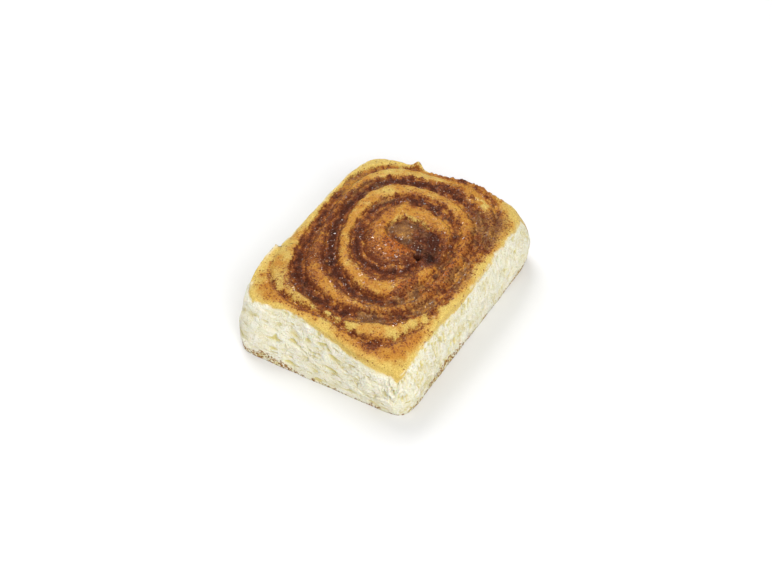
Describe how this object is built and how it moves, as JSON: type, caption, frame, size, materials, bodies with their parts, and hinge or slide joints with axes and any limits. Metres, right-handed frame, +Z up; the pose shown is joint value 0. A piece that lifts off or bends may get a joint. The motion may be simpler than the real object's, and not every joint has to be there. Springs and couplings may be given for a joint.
{
  "type": "cinnamon roll",
  "caption": "Squarish pan-baked sweet roll: a rolled dough strip with a spiral of cinnamon filling on top and torn crumb sides.",
  "frame": {"origin": "centre of the base, on the surface the roll stands on", "axes": "+Y along the roll's longer side, +X across it towards the side where the filling's bands are thinnest, +Z up through the spiral"},
  "size_m": [0.0786, 0.1038, 0.033],
  "materials": {
    "dough": "baked crust, matte to satin, with torn pale crumb on the sides",
    "cinnamon_filling": "sticky, grainy, glossy in spots"
  },
  "bodies": {
    "root": {"dough": "dough", "cinnamon_filling": "cinnamon_filling"}
  },
  "joints": []
}
